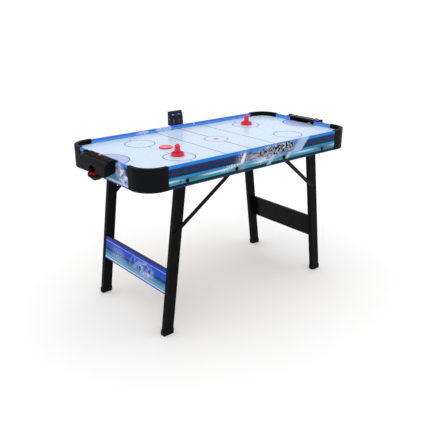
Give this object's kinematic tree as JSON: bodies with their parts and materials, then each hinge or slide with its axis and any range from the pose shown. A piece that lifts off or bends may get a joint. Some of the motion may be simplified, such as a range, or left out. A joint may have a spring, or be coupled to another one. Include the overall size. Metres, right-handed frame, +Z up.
{
  "type": "air hockey table",
  "caption": "Folding-leg air hockey table with perforated playfield, rounded corner caps, goal returns, score unit, braces, pushers and pucks.",
  "frame": {"origin": "on the floor under the middle of the whole object's bounding box", "axes": "+X along the table towards the right goal, +Y across the table towards the score unit, +Z up"},
  "size_m": [1.355, 0.6414, 0.828],
  "materials": {
    "printed_apron": "printed gloss film on fibreboard",
    "playfield": "printed gloss coating on fibreboard",
    "bottom_hardboard": "bare hardboard",
    "pine": "bare",
    "black_moulding": "fine textured",
    "black_case": "satin",
    "red_display": "gloss",
    "circuit": "lacquered",
    "green_button": "gloss",
    "red_plastic": "gloss",
    "black_wood": "black foil",
    "printed_panel": "printed gloss film on fibreboard",
    "black_steel": "powder coat",
    "zinc_steel": "zinc plated",
    "black_fan": "moulded",
    "motor_can": "satin",
    "wire_sheath": "pvc"
  },
  "bodies": {
    "table": {"front_apron": "printed_apron", "rear_apron": "printed_apron", "left_end_apron": "printed_apron", "right_end_apron": "printed_apron", "corner_caps": "black_moulding", "corner_blocks": "pine", "playfield_board": "playfield", "bottom_board": "bottom_hardboard", "chamber_battens": "pine", "score_rods": "black_steel", "score_unit_front": "black_case", "score_unit_back": "black_case", "score_circuit": "circuit", "score_displays": "red_display", "score_unit_bracket": "black_steel", "blower_housing": "black_fan", "blower_motor": "motor_can", "blower_guard": "black_fan", "blower_wire": "wire_sheath", "power_inlet": "black_fan", "switch_frame": "black_fan", "table_screws": "black_steel", "pivot_bolts": "black_steel", "pivot_nuts": "zinc_steel", "pivot_spacers": "black_fan", "left_goal_frame": "black_moulding", "left_goal_box": "black_moulding", "left_puck_tray": "black_moulding", "left_score_rail": "black_moulding", "right_goal_frame": "black_moulding", "right_goal_box": "black_moulding", "right_puck_tray": "black_moulding", "right_score_rail": "black_moulding"},
    "left_legs": {"left_front_leg": "black_wood", "left_rear_leg": "black_wood", "left_leg_panel": "printed_panel", "left_foot_caps": "black_moulding", "left_panel_screws": "black_steel"},
    "left_front_brace": {"left_front_brace": "black_steel", "left_front_brace_bolt": "black_steel"},
    "left_rear_brace": {"left_rear_brace": "black_steel", "left_rear_brace_bolt": "black_steel"},
    "right_legs": {"right_front_leg": "black_wood", "right_rear_leg": "black_wood", "right_leg_panel": "printed_panel", "right_foot_caps": "black_moulding", "right_panel_screws": "black_steel"},
    "right_front_brace": {"right_front_brace": "black_steel", "right_front_brace_bolt": "black_steel"},
    "right_rear_brace": {"right_rear_brace": "black_steel", "right_rear_brace_bolt": "black_steel"},
    "left_pusher": {"left_pusher": "red_plastic"},
    "right_pusher": {"right_pusher": "red_plastic"},
    "field_puck": {"field_puck": "red_plastic"},
    "goal_puck": {"goal_puck": "red_plastic"},
    "left_score_slider": {"left_score_slider": "red_plastic"},
    "right_score_slider": {"right_score_slider": "red_plastic"},
    "score_button": {"score_button": "green_button"},
    "switch_rocker": {"switch_rocker": "black_fan"},
    "blower_impeller": {"blower_impeller": "black_fan"}
  },
  "joints": [
    {"name": "left_leg_fold", "type": "hinge", "parent": "table", "child": "left_legs", "pos_m": [-0.407, -0.01225, 0.6887], "axis": [0, -1, 0], "range_deg": [0, 95.1]},
    {"name": "right_leg_fold", "type": "hinge", "parent": "table", "child": "right_legs", "pos_m": [0.407, -0.01225, 0.6887], "axis": [0, 1, 0], "range_deg": [0, 97.35]},
    {"name": "left_front_brace_swing", "type": "hinge", "parent": "table", "child": "left_front_brace", "pos_m": [-0.143, -0.30075, 0.6887], "axis": [0, 1, 0], "range_deg": [0, 32]},
    {"name": "left_rear_brace_swing", "type": "hinge", "parent": "table", "child": "left_rear_brace", "pos_m": [-0.143, 0.27625, 0.6887], "axis": [0, 1, 0], "range_deg": [0, 32]},
    {"name": "right_front_brace_swing", "type": "hinge", "parent": "table", "child": "right_front_brace", "pos_m": [0.143, -0.30075, 0.6887], "axis": [0, -1, 0], "range_deg": [0, 32]},
    {"name": "right_rear_brace_swing", "type": "hinge", "parent": "table", "child": "right_rear_brace", "pos_m": [0.143, 0.27625, 0.6887], "axis": [0, -1, 0], "range_deg": [0, 32]},
    {"name": "left_pusher_slide", "type": "slide", "parent": "table", "child": "left_pusher", "axis": [1, 0, 0], "range_m": [-0.238, 0.29]},
    {"name": "right_pusher_slide", "type": "slide", "parent": "table", "child": "right_pusher", "axis": [1, 0, 0], "range_m": [-0.297, 0.231]},
    {"name": "field_puck_slide", "type": "slide", "parent": "table", "child": "field_puck", "axis": [1, 0, 0], "range_m": [-0.28, 0.84]},
    {"name": "goal_puck_lift", "type": "slide", "parent": "table", "child": "goal_puck", "axis": [0, 0, 1], "range_m": [0, 0.02]},
    {"name": "left_score_count", "type": "slide", "parent": "table", "child": "left_score_slider", "axis": [0, 1, 0], "range_m": [-0.091, 0.107]},
    {"name": "right_score_count", "type": "slide", "parent": "table", "child": "right_score_slider", "axis": [0, 1, 0], "range_m": [-0.019, 0.179]},
    {"name": "score_button_press", "type": "slide", "parent": "table", "child": "score_button", "axis": [1, 0, 0], "range_m": [0, 0.0015], "stiffness_N_per_m": 300, "springref_m": -0.0005},
    {"name": "switch_rocker_tilt", "type": "hinge", "parent": "table", "child": "switch_rocker", "pos_m": [-0.085, 0.28925, 0.69], "axis": [0, 0, 1], "range_deg": [0, 16]},
    {"name": "blower_spin", "type": "hinge", "parent": "table", "child": "blower_impeller", "pos_m": [0, -0.01225, 0.7], "axis": [0, 0, 1], "continuous": true}
  ]
}
